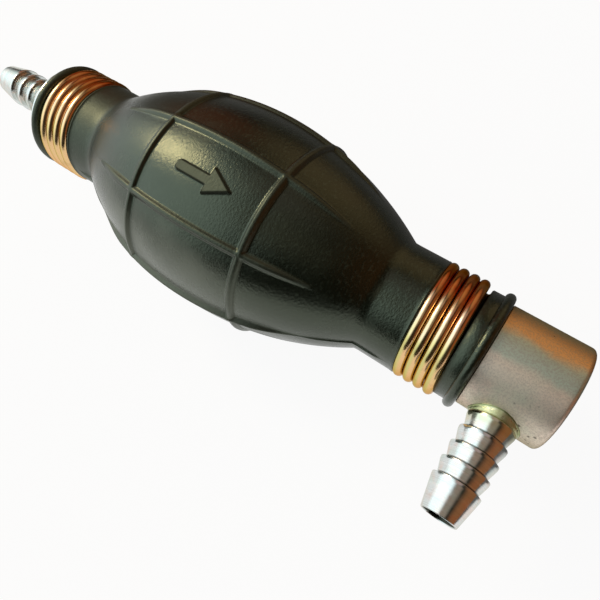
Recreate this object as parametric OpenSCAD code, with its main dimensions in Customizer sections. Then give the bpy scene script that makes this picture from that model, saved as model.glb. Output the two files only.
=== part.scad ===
// Siphon bulb pump: a moulded rubber bulb between two turned steel valve ends.
// +X is the direction of flow, +Z is up, and the outlet tail points along -Y.
// The origin is the middle of the inlet tail's mouth.

/* [Bulb] */
// Length of the rubber moulding from lip to lip
bulb_len = 127; // [124:0.5:136]
// Distance from the inlet lip to the middle of the belly
belly_at = 61.4; // [60:0.1:64]
// Largest outer radius of the belly
belly_r = 25.35; // [23:0.05:30]
// Radius of the arc that the belly's inlet half follows
inlet_arc_r = 72.5; // [66:0.5:76]
// Radius of the arc that the belly's outlet half follows
outlet_arc_r = 77; // [70:0.5:80]
// Thickness of the belly's wall
belly_wall = 2.6; // [1.8:0.1:3.2]
// Outer radius of the inlet neck
inlet_neck_r = 13.3; // [12.8:0.1:13.8]
// Outer radius of the outlet neck
outlet_neck_r = 13.7; // [12.8:0.1:14.2]
// Radius of the hollow curve between belly and inlet neck
inlet_fillet_r = 9; // [6:0.5:12]
// Radius of the hollow curve between belly and outlet neck
outlet_fillet_r = 7; // [6:0.5:12]

/* [Bulb ribs] */
// Number of ribs that run along the belly
rib_count = 8; // [6:2:12]
// Width of a rib
rib_w = 1.5; // [1:0.1:2.4]
// Height of a rib over the belly
rib_h = 0.8; // [0.4:0.1:1.2]
// Half the length of a rib
rib_half_len = 32; // [26:0.5:34]
// Turn of the first rib from the outlet tail's side
rib_turn = 86; // [60:1:100]
// Distance from the belly's middle to each ring
ring_at = 15.2; // [10:0.1:20]

/* [Flow arrow] */
// Length of the arrow from tail to point
arrow_len = 14.2; // [10:0.2:18]
// Length of the arrow's head
arrow_head_len = 5.7; // [4:0.1:7]
// Width of the arrow's head
arrow_head_w = 6; // [4:0.1:8]
// Width of the arrow's shaft
arrow_shaft_w = 2.2; // [1.4:0.1:3]
// Height of the arrow over the belly
arrow_h = 0.7; // [0.4:0.1:1]

/* [Neck ends] */
// Outer radius of the rolled lip at each end of the moulding
lip_r = 13.95; // [13.5:0.05:15]
// Width of the rolled lip
lip_w = 2.4; // [1.8:0.1:2.6]
// Outer radius of the plain land beside the lip
land_r = 12.75; // [12.4:0.05:13]
// Length of the land at the inlet neck
inlet_land = 0.3; // [0.2:0.1:1.5]
// Length of the land at the outlet neck
outlet_land = 2.4; // [0.5:0.1:3.5]
// Radius of the groove that the clamp wire has pressed in
groove_r = 11.45; // [11:0.05:12]
// Height over the neck of the shoulder beside the groove
shoulder_rise = 0.15; // [0:0.05:0.6]
// Radius of the shoulder's round top
shoulder_round = 1.4; // [1:0.1:1.6]

/* [Wire clamps] */
// Diameter of the clamp wire
clamp_wire_d = 2.2; // [1.6:0.1:2.4]
// Distance between neighbouring turns
clamp_pitch = 2.47; // [2.4:0.01:2.6]
// Number of turns
clamp_turns = 3.55; // [2.55:0.05:3.9]
// Turn at which the wire starts, from the side away from the outlet tail
clamp_start = 10; // [-40:1:60]

/* [Hose tails] */
// Radius of the flow bore
bore_r = 3; // [2.6:0.1:3.2]
// Radius of a hose tail over its barbs
barb_r = 5.25; // [4.9:0.05:5.6]
// Radius of a hose tail between its barbs
barb_root_r = 4.3; // [4.1:0.05:4.6]
// Radius of a hose tail at its tip
tip_r = 3.9; // [3.7:0.05:4.2]
// Number of barbs on each tail
barb_count = 5; // [2:1:5]
// Distance between neighbouring barbs
barb_pitch = 3.6; // [3:0.1:3.8]
// Length of the tip up to the first barb's edge
tip_len = 7.1; // [5:0.1:8]
// Length of the straight land on each barb's edge
barb_land = 0.6; // [0.4:0.1:1]
// Length of the stem between the inlet tail's last barb and its flange
inlet_stem = 2.8; // [2:0.1:10]
// Radius of both stems where they meet the fittings
stem_r = 5; // [4.6:0.05:5.2]

/* [Inlet fitting] */
// Radius of the throat below the inlet valve's seat
throat_r = 2.6; // [2.3:0.1:2.8]
// Length of the throat
throat_len = 2; // [1.5:0.1:3]
// Thickness of the flange
flange_t = 2.2; // [1.5:0.1:4]
// Radius of the flange
flange_r = 12; // [11:0.1:12.5]

/* [Spigots] */
// Radius of the spigot's ridges
spigot_r = 9.4; // [9:0.05:9.7]
// Depth of the furrows between the ridges
ridge_h = 0.6; // [0.3:0.05:0.8]
// Number of ridges
ridge_count = 4; // [2:1:5]
// Distance between neighbouring ridges
ridge_pitch = 3; // [2.4:0.1:3.2]
// Length of each spigot
spigot_len = 21; // [20:0.1:24]

/* [Outlet body] */
// Radius of the outlet body
body_r = 12; // [11:0.1:12.5]
// Length of the outlet body outside the rubber
body_len = 18.1; // [17:0.1:24]
// Distance from the outlet body's shoulder to the outlet tail's axis
outlet_at = 8.2; // [7.8:0.1:9]
// Radius of the round edge at the closed end
body_edge_r = 1.1; // [0.4:0.1:2]
// Length of the stem between the outlet tail's last barb and the body
outlet_stem = 0.6; // [0.6:0.1:8]
// Radius of the outlet tail's plug in the body
plug_r = 4.6; // [4.3:0.05:4.9]
// Depth of the outlet tail's plug in the body
plug_depth = 5; // [3:0.1:5.5]
// Radius of the braze ring on the body
braze_r = 5.9; // [5.7:0.05:6.4]
// Height of the braze ring over the body
braze_h = 0.5; // [0.3:0.05:0.55]

/* [Valves] */
// Radius of the valve chambers
chamber_r = 6; // [5.6:0.05:6.4]
// Radius of the valve balls
ball_r = 4.5; // [4.4:0.05:4.7]
// Travel of a ball off its seat
ball_lift = 2.5; // [1.5:0.1:3]
// Diameter of the valve spring's wire
spring_wire_d = 0.7; // [0.5:0.05:0.8]
// Mean radius of the valve springs
spring_r = 3.5; // [3.4:0.05:3.7]
// Room left in a fitted valve spring when its ball is fully lifted
spring_spare = 3.7; // [2.5:0.1:3.9]
// Number of turns of a valve spring
spring_turns = 5; // [4:0.5:6]
// Thickness of the inlet valve's retainer
retainer_t = 1.5; // [1:0.1:2]
// Radius of the flow notches in the retainer's rim
notch_r = 1.7; // [1.2:0.1:1.9]
// Number of flow notches in the retainer's rim
notch_count = 4; // [3:1:5]
// Length of the outlet valve's seat insert
seat_len = 5; // [4:0.1:6]
// Largest radius of the insert's conical seat
seat_cone_r = 4.4; // [4.2:0.1:4.8]

/* [Clearances] */
// Radial clearance between rubber bore and spigot
rubber_fit = 0.1; // [0.05:0.01:0.2]
// Clearance between the rubber's end faces and the fittings
rubber_face_gap = 0.1; // [0.05:0.01:0.2]
// Radial clearance between wire clamp and groove
clamp_fit = 0.2; // [0.15:0.05:0.3]
// Clearance at each end of the groove beside the wire
clamp_side = 0.12; // [0.1:0.01:0.3]
// Clearance of ball and spring where they rest
valve_fit = 0.05; // [0.02:0.01:0.1]

/* [Hidden] */
$fn = 96;

rubber_col = "#23262a";
zinc_col = "#c3c5c4";
gold_col = "#c99a55";
body_col = "#a79f92";
braze_col = "#a9a566";
ball_col = "#d6d8da";

// Places along the pump's axis, and the outlet tail's reach from it
barbs_len = tip_len + (barb_count - 1) * barb_pitch;
inlet_tail_len = barbs_len + inlet_stem;
outlet_reach = body_r + outlet_stem + barbs_len;
flange_face = inlet_tail_len + flange_t;
bulb_start = flange_face + rubber_face_gap;
belly_x = bulb_start + belly_at;
bulb_end = bulb_start + bulb_len;
body_start = bulb_end + rubber_face_gap;
body_end = body_start + body_len;
outlet_x = body_start + outlet_at;

// Belly outline: a long arc for each half, and a fillet that meets it and the neck
arc_steps = 14;
fillet_steps = 6;
bulb_bore_r = spigot_r + rubber_fit;
function belly_arc(dx) = dx < 0 ? inlet_arc_r : outlet_arc_r;
function belly_outline_r(dx) = let (arc = belly_arc(dx)) belly_r - arc + sqrt(pow(arc, 2) - dx * dx);

// Points [radius, distance from the belly's middle] of one half, sunk below the outside by depth
function belly_half(arc, neck, fillet_r, depth) =
    let (r = arc - depth,
         fillet = fillet_r + depth,
         centre = belly_r - arc,
         foot = sqrt(pow(r + fillet, 2) - pow(neck + fillet - centre, 2)),
         tilt = asin(foot / (r + fillet)))
    [for (i = [0 : arc_steps - 1]) let (a = tilt * i / arc_steps)
         [centre + r * cos(a), r * sin(a)],
     for (i = [fillet_steps : -1 : 0]) let (a = tilt * i / fillet_steps)
         [neck + fillet - fillet * cos(a), foot - fillet * sin(a)]];

// Points [radius, x] along the whole belly from neck to neck
function belly_points(inlet_neck, outlet_neck, depth) =
    let (inlet = belly_half(inlet_arc_r, inlet_neck, inlet_fillet_r, depth),
         outlet = belly_half(outlet_arc_r, outlet_neck, outlet_fillet_r, depth))
    [for (i = [len(inlet) - 1 : -1 : 1]) [inlet[i][0], belly_x - inlet[i][1]],
     for (p = outlet) [p[0], belly_x + p[1]]];

// Half of the neck's outline, as [radius, distance from the lip's end face]
groove_len = clamp_turns * clamp_pitch + clamp_wire_d + 2 * clamp_side;
lip_steps = 8;
lip_round = lip_w / 2;
shoulder_back = shoulder_round * 0.85;
shoulder_ahead = sqrt(pow(shoulder_round, 2) - pow(shoulder_round - shoulder_rise, 2));
function neck_len(land) = lip_w + land + groove_len + shoulder_back + shoulder_ahead;
function neck_end(land, neck_r) =
    let (g0 = lip_w + land,
         g1 = g0 + groove_len,
         shoulder_centre = neck_r + shoulder_rise - shoulder_round,
         wall_turn = 180 - acos(shoulder_back / shoulder_round),
         neck_turn = acos(shoulder_ahead / shoulder_round))
    [for (i = [0 : lip_steps]) let (a = 180 - 180 * i / lip_steps)
         [lip_r - lip_round + lip_round * sin(a), lip_round + lip_round * cos(a)],
     [land_r, lip_w + land / 4],
     [land_r, g0],
     [groove_r, g0],
     [groove_r, g1],
     for (i = [0 : lip_steps]) let (a = wall_turn + (neck_turn - wall_turn) * i / lip_steps)
         [shoulder_centre + shoulder_round * sin(a), g1 + shoulder_back + shoulder_round * cos(a)]];
function mirrored(points, x0) = [for (i = [len(points) - 1 : -1 : 0]) [points[i][0], x0 - points[i][1]]];
function moved(points, x0) = [for (p = points) [p[0], x0 + p[1]]];

module about_x() {
    rotate([0, 90, 0]) rotate([0, 0, 90]) rotate_extrude() children();
}

module bulb_outside() {
    from = bulb_start + neck_len(inlet_land);
    to = bulb_end - neck_len(outlet_land);
    about_x() polygon(concat(
        [[0, bulb_start]],
        moved(neck_end(inlet_land, inlet_neck_r), bulb_start),
        [for (p = belly_points(inlet_neck_r, outlet_neck_r, 0)) if (p[1] > from && p[1] < to) p],
        mirrored(neck_end(outlet_land, outlet_neck_r), bulb_end),
        [[0, bulb_end]]));
}

module bulb_inside() {
    over = 1;
    about_x() polygon(concat(
        [[0, bulb_start - over], [bulb_bore_r, bulb_start - over]],
        belly_points(bulb_bore_r, bulb_bore_r, belly_wall),
        [[bulb_bore_r, bulb_end + over], [0, bulb_end + over]]));
}

// A thin shell over the belly that stands proud of it by h, and sinks in at its two ends
proud_steps = 20;
root_depth = 1;
end_slope = 13;
module proud_shell(h, half_len) {
    about_x() polygon(concat(
        [for (i = [0 : proud_steps]) let (dx = half_len * (2 * i / proud_steps - 1))
             [belly_outline_r(dx) - root_depth, belly_x + dx]],
        [for (i = [proud_steps : -1 : 0]) let (dx = half_len * (2 * i / proud_steps - 1),
                                              full = min(1, (half_len - abs(dx)) / end_slope))
             [belly_outline_r(dx) + (h + root_depth / 2) * full - root_depth / 2, belly_x + dx]]));
}

module bulb_ribs() {
    intersection() {
        proud_shell(rib_h, rib_half_len);
        for (k = [0 : rib_count / 2 - 1])
            translate([belly_x, 0, 0]) rotate([rib_turn + 360 / rib_count * k, 0, 0])
                cube([2 * rib_half_len, 2 * (belly_r + rib_h + 1), rib_w], center = true);
    }
}

module bulb_rings() {
    foot = rib_w * 0.6;
    crown = rib_w * 0.3;
    for (side = [-1, 1]) {
        at = belly_x + side * ring_at;
        r = belly_outline_r(ring_at);
        lean = ring_at / belly_arc(side) * foot * side;
        about_x() polygon([[r - root_depth, at - foot], [r + lean, at - foot],
                           [r + rib_h, at - crown], [r + rib_h, at + crown],
                           [r - lean, at + foot], [r - root_depth, at + foot]]);
    }
}

module flow_arrow() {
    tail = -arrow_len / 2;
    neck = arrow_len / 2 - arrow_head_len;
    turn = rib_turn + 180 / rib_count;
    intersection() {
        proud_shell(arrow_h, ring_at + end_slope);
        rotate([turn - 90, 0, 0]) translate([belly_x, 0, 0])
            linear_extrude(height = belly_r + arrow_h + 1)
                polygon([[tail, -arrow_shaft_w / 2], [neck, -arrow_shaft_w / 2], [neck, -arrow_head_w / 2],
                         [arrow_len / 2, 0],
                         [neck, arrow_head_w / 2], [neck, arrow_shaft_w / 2], [tail, arrow_shaft_w / 2]]);
    }
}

module bulb() {
    color(rubber_col) difference() {
        union() {
            bulb_outside();
            bulb_ribs();
            bulb_rings();
            flow_arrow();
        }
        bulb_inside();
    }
}

// One unbroken round wire, as rings of points [x, y, z] along a helix about X with straight ends
wire_sides = 6;
function helix_ring(x, r, turn, back, wire_r, lead) =
    let (radial = [0, cos(turn), sin(turn)],
         along = [sin(lead), -sin(turn) * cos(lead), cos(turn) * cos(lead)],
         across = cross(along, radial),
         at = [x, 0, 0] + r * radial + back * along)
    [for (s = [0 : wire_sides - 1]) let (a = 360 * s / wire_sides)
         at + wire_r * (cos(a) * radial + sin(a) * across)];
function helix_rings(x0, r, pitch, turns, start, wire_r, per_turn) =
    let (steps = round(turns * per_turn),
         lead = atan(pitch / (2 * PI * r)))
    [helix_ring(x0, r, start, -2 * wire_r, wire_r, lead),
     for (i = [0 : steps]) let (t = turns * i / steps)
         helix_ring(x0 + pitch * t, r, start + 360 * t, 0, wire_r, lead),
     helix_ring(x0 + pitch * turns, r, start + 360 * turns, 2 * wire_r, wire_r, lead)];

module wire_tube(rings) {
    n = len(rings);
    m = wire_sides;
    polyhedron(
        points = [for (ring = rings) each ring],
        faces = concat(
            [for (s = [1 : m - 2]) [0, s, s + 1]],
            [for (i = [0 : n - 2], s = [0 : m - 1])
                 [i * m + s, (i + 1) * m + s, (i + 1) * m + (s + 1) % m]],
            [for (i = [0 : n - 2], s = [0 : m - 1])
                 [i * m + s, (i + 1) * m + (s + 1) % m, i * m + (s + 1) % m]],
            [for (s = [1 : m - 2]) [(n - 1) * m, (n - 1) * m + s + 1, (n - 1) * m + s]]));
}

// Least distance between points of neighbouring turns of a wound wire
function least_gap(rings, per_turn) = min(
    [for (i = [0 : len(rings) - 1], j = [i + per_turn - 2 : min(i + per_turn + 2, len(rings) - 1)],
          p = rings[i], q = rings[j]) norm(p - q)]);

clamp_rings_per_turn = 24;
clamp_wire_r = clamp_wire_d / 2;
clamp_r = groove_r + clamp_fit + clamp_wire_r;
function clamp_rings(x0) = helix_rings(x0, clamp_r, clamp_pitch, clamp_turns, clamp_start,
                                       clamp_wire_r, clamp_rings_per_turn);
inlet_clamp_x = bulb_start + lip_w + inlet_land + clamp_side + clamp_wire_r;
outlet_clamp_x = bulb_end - lip_w - outlet_land - groove_len + clamp_side + clamp_wire_r;

module inlet_clamp() {
    color(gold_col) wire_tube(clamp_rings(inlet_clamp_x));
}

module outlet_clamp() {
    color(gold_col) wire_tube(clamp_rings(outlet_clamp_x));
}

// Outline [radius, distance from tip] of a hose tail's barbs, ending at the last barb's back
function tail_outline() =
    [for (k = [0 : barb_count - 1])
         let (edge = tip_len + k * barb_pitch,
              from = k == 0 ? 0 : edge - barb_pitch,
              from_r = k == 0 ? tip_r : barb_root_r)
         each [[from_r, from], [barb_r, edge - barb_land], [barb_r, edge], [barb_root_r, edge]]];

// Outline [radius, x] of a spigot's ridges; each ridge's steep side faces the fitting
function spigot_outline(x0, dir) =
    let (first = spigot_len - ridge_count * ridge_pitch - 2,
         low = spigot_r - ridge_h)
    [[low, x0],
     [low, x0 + dir * first],
     for (k = [0 : ridge_count - 1]) let (s = first + k * ridge_pitch)
         each [[spigot_r, x0 + dir * s], [spigot_r, x0 + dir * (s + ridge_pitch / 3)],
               [low, x0 + dir * (s + ridge_pitch)]],
     [low, x0 + dir * spigot_len]];

// Valve places: the ball's middle when seated, and the wire's middle at both spring ends
function seated_ball(cone_x, cone_r) = cone_x - cone_r + (ball_r + valve_fit) * sqrt(2);
spring_on_ball = sqrt(pow(ball_r + valve_fit + spring_wire_d / 2, 2) - pow(spring_r, 2));
spring_len = (spring_turns + 1) * spring_wire_d + ball_lift + spring_spare;
spring_travel = spring_len - spring_wire_d - valve_fit;
inlet_cone_x = inlet_tail_len + flange_t / 2;
inlet_ball_x = seated_ball(inlet_cone_x, throat_r);
retainer_x = inlet_ball_x + spring_on_ball + spring_travel + spring_wire_d / 2 + valve_fit;
outlet_mouth = body_start - spigot_len;
seat_x = outlet_mouth + 0.5;
outlet_cone_x = seat_x + seat_len - (seat_cone_r - bore_r);
outlet_ball_x = seated_ball(outlet_cone_x, bore_r);
chamber_end = outlet_ball_x + spring_on_ball + spring_travel + spring_wire_d / 2 + valve_fit;

// Depth of the cone that a drill of the bore's radius leaves
drill_point = bore_r / tan(59);

module inlet_fitting() {
    color(zinc_col) difference() {
        about_x() polygon(concat(
            [[0, 0]],
            tail_outline(),
            [[stem_r, inlet_tail_len - flange_t / 3], [stem_r, inlet_tail_len],
             [flange_r - 0.4, inlet_tail_len], [flange_r, inlet_tail_len + 0.4],
             [flange_r, flange_face - 0.3], [flange_r - 0.3, flange_face]],
            spigot_outline(flange_face, 1),
            [[0, flange_face + spigot_len]]));
        about_x() polygon([[0, -1], [bore_r, -1], [bore_r, inlet_cone_x - throat_len],
                           [throat_r, inlet_cone_x - throat_len + drill_point * (1 - throat_r / bore_r)],
                           [throat_r, inlet_cone_x], [chamber_r, inlet_cone_x + chamber_r - throat_r],
                           [chamber_r, flange_face + spigot_len + 1], [0, flange_face + spigot_len + 1]]);
    }
}

module inlet_retainer() {
    color(zinc_col) translate([retainer_x, 0, 0]) rotate([0, 90, 0]) difference() {
        cylinder(r = chamber_r, h = retainer_t);
        translate([0, 0, -1]) cylinder(r = spring_r - spring_wire_d, h = retainer_t + 2);
        for (k = [0 : notch_count - 1])
            rotate([0, 0, 360 / notch_count * k]) translate([chamber_r, 0, -1])
                cylinder(r = notch_r, h = retainer_t + 2, $fn = 48);
    }
}

module valve_ball(x) {
    color(ball_col) translate([x, 0, 0]) sphere(r = ball_r);
}

module inlet_ball() {
    valve_ball(inlet_ball_x);
}

module outlet_ball() {
    valve_ball(outlet_ball_x);
}

spring_rings_per_turn = 16;
function spring_rings(ball_x) =
    helix_rings(ball_x + spring_on_ball, spring_r, spring_travel / spring_turns, spring_turns, 0,
                spring_wire_d / 2, spring_rings_per_turn);

module inlet_spring() {
    color(zinc_col) wire_tube(spring_rings(inlet_ball_x));
}

module outlet_spring() {
    color(zinc_col) wire_tube(spring_rings(outlet_ball_x));
}

module outlet_seat() {
    cone_r = seat_cone_r;
    color(zinc_col) about_x() polygon([
        [bore_r, seat_x], [chamber_r - 0.4, seat_x], [chamber_r, seat_x + 0.4],
        [chamber_r, seat_x + seat_len], [cone_r, seat_x + seat_len],
        [bore_r, seat_x + seat_len - (cone_r - bore_r)]]);
}

// Turns a shape made about Z, with its foot at z = 0, to stand on the outlet tail's axis along -Y
module on_outlet_axis() {
    translate([outlet_x, 0, 0]) rotate([90, 0, 0]) children();
}

// Outline [radius, distance from the pump's axis] of the tail's plug and its seat in the body
plug_end = body_r - plug_depth;
plug_top = body_r - 1.2;
stem_foot = body_r - 0.6;
function plug_outline(top) = [[stem_r, top], [stem_r, stem_foot], [plug_r, plug_top], [plug_r, plug_end]];

edge_steps = 6;
module outlet_body() {
    color(body_col) difference() {
        about_x() polygon(concat(
            [[0, outlet_mouth]],
            mirrored(spigot_outline(0, 1), body_start),
            [[body_r - 0.3, body_start], [body_r, body_start + 0.3]],
            [for (i = [0 : edge_steps]) let (a = 90 * i / edge_steps)
                 [body_r - body_edge_r + body_edge_r * cos(a), body_end - body_edge_r + body_edge_r * sin(a)]],
            [[0, body_end]]));
        about_x() polygon([[0, outlet_mouth - 1], [chamber_r, outlet_mouth - 1], [chamber_r, chamber_end],
                           [bore_r, chamber_end], [bore_r, outlet_x + bore_r],
                           [0, outlet_x + bore_r + drill_point]]);
        on_outlet_axis() cylinder(r = bore_r, h = body_r);
        on_outlet_axis() rotate_extrude()
            polygon(concat([[0, body_r + 1]], plug_outline(body_r + 1), [[0, plug_end]]));
    }
}

module outlet_tail() {
    color(zinc_col) on_outlet_axis() rotate_extrude() polygon(concat(
        [[bore_r, outlet_reach]],
        [for (p = tail_outline()) [p[0], outlet_reach - p[1]]],
        plug_outline(body_r + outlet_stem / 2),
        [[bore_r, plug_end]]));
}

module outlet_braze() {
    sink = 3;
    color(braze_col) difference() {
        intersection() {
            on_outlet_axis() rotate_extrude()
                polygon([[0, body_r - sink], [braze_r, body_r - sink], [braze_r, body_r - braze_h / 2],
                         [stem_r + 0.2, body_r + braze_h], [0, body_r + braze_h]]);
            translate([outlet_x - braze_r - 2, 0, 0]) rotate([0, 90, 0])
                cylinder(r = body_r + braze_h, h = 2 * (braze_r + 2));
        }
        translate([outlet_x - braze_r - 3, 0, 0]) rotate([0, 90, 0])
            cylinder(r = body_r, h = 2 * (braze_r + 3));
        on_outlet_axis() cylinder(r = stem_r, h = outlet_reach);
    }
}

union() {
    echo(clamp_gap = least_gap(clamp_rings(inlet_clamp_x), clamp_rings_per_turn));
    echo(spring_gap = least_gap(spring_rings(inlet_ball_x), spring_rings_per_turn));
}
bulb();
inlet_fitting();
inlet_clamp();
inlet_ball();
inlet_spring();
inlet_retainer();
outlet_body();
outlet_tail();
outlet_braze();
outlet_clamp();
outlet_seat();
outlet_ball();
outlet_spring();
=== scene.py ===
"""Dressed model of a siphon bulb pump: a rubber bulb, two wound wire clamps and two turned valve ends.

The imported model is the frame. Lengths below are in millimetres unless a name ends in _m, and each mesh is
made in metres. +X is the direction of flow, +Z is up and the outlet tail points along -Y.
"""

import math

import bmesh
import bpy
import numpy as np
from bpy.props import FloatProperty, FloatVectorProperty, PointerProperty
from mathutils import Matrix, Vector, noise


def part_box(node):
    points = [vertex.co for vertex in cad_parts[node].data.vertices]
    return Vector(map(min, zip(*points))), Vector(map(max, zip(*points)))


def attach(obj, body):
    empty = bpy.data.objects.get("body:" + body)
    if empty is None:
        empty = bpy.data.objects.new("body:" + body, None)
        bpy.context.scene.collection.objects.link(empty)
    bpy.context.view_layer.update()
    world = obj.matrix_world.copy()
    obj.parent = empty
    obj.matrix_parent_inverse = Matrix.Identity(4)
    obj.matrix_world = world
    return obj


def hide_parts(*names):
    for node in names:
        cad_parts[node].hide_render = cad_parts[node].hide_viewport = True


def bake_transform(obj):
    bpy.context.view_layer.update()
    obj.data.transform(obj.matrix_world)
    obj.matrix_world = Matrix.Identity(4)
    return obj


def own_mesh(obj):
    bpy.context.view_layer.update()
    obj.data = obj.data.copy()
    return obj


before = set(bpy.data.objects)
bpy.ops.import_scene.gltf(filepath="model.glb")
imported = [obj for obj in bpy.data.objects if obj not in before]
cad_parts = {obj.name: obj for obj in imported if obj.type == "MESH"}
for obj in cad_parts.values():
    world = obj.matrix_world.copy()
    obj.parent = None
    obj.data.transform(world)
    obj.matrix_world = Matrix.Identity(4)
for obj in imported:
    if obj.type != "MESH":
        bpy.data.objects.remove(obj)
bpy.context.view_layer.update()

bl_info = {
    "name": "Siphon Bulb Pump",
    "version": (1, 0, 0),
    "blender": (4, 5, 0),
    "location": "3D View > Sidebar > Pump",
    "description": "Builds the dressed pieces of a siphon bulb pump round its packed model",
    "category": "Object",
}

MM = 0.001
EASED_POINTS = 4
OUTLINE_STEP = 1.2
WHITE = (1, 1, 1)


def node_span(node, axis):
    """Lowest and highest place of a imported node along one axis, in millimetres."""
    low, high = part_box(node)
    return low[axis] / MM, high[axis] / MM


BULB_START, BULB_END = node_span("bulb", 0)
BODY_END = node_span("outlet_body", 0)[1]
TAIL_TIP = -node_span("outlet_tail", 1)[0]
OUTLET_X = sum(node_span("outlet_tail", 0)) / 2
FLOOR_Z = node_span("bulb", 2)[0]


# Sizes and colours that a user may change

def length(name, description, default_mm):
    return FloatProperty(name=name, description=description, default=default_mm * MM, min=0.0,
                         unit="LENGTH", subtype="DISTANCE", precision=5)


def colour(name, description, default):
    return FloatVectorProperty(name=name, description=description, default=default, size=3,
                               min=0.0, max=1.0, subtype="COLOR")


class PumpBulbSettings(bpy.types.PropertyGroup):
    belly_radius: length("Belly Radius", "Largest radius of the belly", 25.35)
    rib_height: length("Rib Height", "Height of ribs and rings over the belly", 0.78)
    rib_width: length("Rib Width", "Width of a rib at half its height", 1.35)
    arrow_height: length("Arrow Height", "Height of the flow arrow over the belly", 0.6)
    seam_height: length("Seam Height", "Height of the line where the mould parts", 0.34)
    grain: length("Grain", "Depth of the moulded grain", 0.05)
    rubber: colour("Rubber", "Colour of the rubber", (0.0014, 0.0024, 0.0013))
    bloom: colour("Bloom", "Colour of the dry bloom on the rubber", (0.005, 0.009, 0.006))
    # The dust colour is laid as a painted sheen, where the belly's low side faces the floor.
    dust: colour("Dust", "Colour of the dusty patches low on the bulb", (0.095, 0.10, 0.088))


class PumpClampSettings(bpy.types.PropertyGroup):
    wire: length("Wire", "Diameter of the clamp wire", 2.4)
    # Where these tints sit on the wire is painted light: reflections of the floor low, of the warm room high,
    # and shade on each strand's +X half.
    gold: colour("Gold", "Gold tint high on the wire", (0.78, 0.34, 0.10))
    peach: colour("Peach", "Peach tint low on the wire", (0.84, 0.52, 0.27))
    blush: colour("Blush", "Pale tint low on the wire", (0.86, 0.66, 0.50))
    lime: colour("Lime", "Green tint at the foot of the wire", (0.64, 0.58, 0.22))
    ember: colour("Ember", "Orange red tint at the top of the wire", (0.78, 0.19, 0.045))
    # Deep is painted shade, on the +X half of each strand high on the neck.
    deep: colour("Deep", "Red tint where the passivate is thick", (0.46, 0.09, 0.02))


class PumpMetalSettings(bpy.types.PropertyGroup):
    edge: length("Edge", "Radius of the broken edges", 0.14)
    barb_edge: length("Barb Edge", "Radius of the edges of the barbs", 0.07)
    zinc: colour("Zinc", "Colour of the bright tails", (0.77, 0.80, 0.79))
    body: colour("Body", "Colour of the satin outlet body", (0.90, 0.79, 0.66))
    # This warm colour is laid as a painted reflection band of the warm wall across the body's round side.
    warm_tint_and_reflection: colour("Body Warm", "Warm tint of the outlet body", (0.92, 0.48, 0.16))
    braze: colour("Braze", "Colour of the braze ring", (0.56, 0.57, 0.32))
    steel: colour("Steel", "Colour of balls and springs", (0.72, 0.73, 0.74))


class PumpStageSettings(bpy.types.PropertyGroup):
    window: FloatProperty(name="Window", description="Brightness of the soft window", default=14.5, min=0.0)
    room: FloatProperty(name="Room", description="Brightness of the room", default=1.0, min=0.0)
    reach: length("Reach", "Half the width of the floor", 1500.0)


# Meshes

def placed(name, data):
    """A new object in the scene."""
    made = bpy.data.objects.new(name, data)
    bpy.context.scene.collection.objects.link(made)
    return made


def mesh_from_rows(name, rows, ring=False, caps=True, sharp=40.0):
    """A piece from rows of points, each row a closed loop. A ring joins its last row to its first."""
    rows = np.asarray(rows, float)
    count, around = rows.shape[:2]
    verts = (rows.reshape(-1, 3) * MM).tolist()
    faces = []
    for i in range(count if ring else count - 1):
        a, b = i * around, (i + 1) % count * around
        faces += [(a + j, a + (j + 1) % around, b + (j + 1) % around, b + j) for j in range(around)]
    if caps and not ring:
        faces += [tuple(range(around))[::-1], tuple(range((count - 1) * around, count * around))]
    mesh = bpy.data.meshes.new(name)
    mesh.from_pydata(verts, [], faces)
    work = bmesh.new()
    work.from_mesh(mesh)
    bmesh.ops.remove_doubles(work, verts=work.verts, dist=1e-7)
    bmesh.ops.recalc_face_normals(work, faces=work.faces)
    work.to_mesh(mesh)
    work.free()
    mesh.shade_smooth()
    mesh.set_sharp_from_angle(angle=math.radians(sharp))
    return placed(name, mesh)


def eased(outline, radius):
    """The closed outline with its corners rounded. A corner's reach is held to less than half its sides."""
    points = [np.array(p, float) for p in outline]
    out = []
    for i, corner in enumerate(points):
        before, after = points[i - 1] - corner, points[(i + 1) % len(points)] - corner
        back, on = np.linalg.norm(before), np.linalg.norm(after)
        reach = min(radius, 0.45 * back, 0.45 * on)
        start, end = corner + before * reach / back, corner + after * reach / on
        for t in np.linspace(0, 1, EASED_POINTS):
            out.append((1 - t) ** 2 * start + 2 * t * (1 - t) * corner + t * t * end)
    return np.array(out)


def dense(outline):
    """The closed outline with points added so that none lie more than a step apart."""
    out = []
    for a, b in zip(outline, np.roll(outline, -1, axis=0)):
        parts = max(1, int(np.ceil(np.linalg.norm(b - a) / OUTLINE_STEP)))
        out += [a + (b - a) * i / parts for i in range(parts)]
    return np.array(out)


def turned_along_x(outline, sides=128):
    """Rows for an outline [radius, x] turned about the pump's axis."""
    turn = np.linspace(0, 2 * np.pi, sides, endpoint=False)
    return [[(x, r * c, r * s) for c, s in zip(np.cos(turn), np.sin(turn))] for r, x in outline]


def turned_along_outlet(outline, sides=128):
    """Rows for an outline [radius, distance from the pump's axis] turned about the outlet tail's axis."""
    turn = np.linspace(0, 2 * np.pi, sides, endpoint=False)
    return [[(OUTLET_X + r * c, -d, r * s) for c, s in zip(np.cos(turn), np.sin(turn))] for r, d in outline]


def step_up(low, high, value):
    """0 below low and 1 above high, with a smooth turn between them."""
    t = np.clip((value - low) / (high - low), 0, 1)
    return t * t * (3 - 2 * t)


# Bulb

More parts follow.
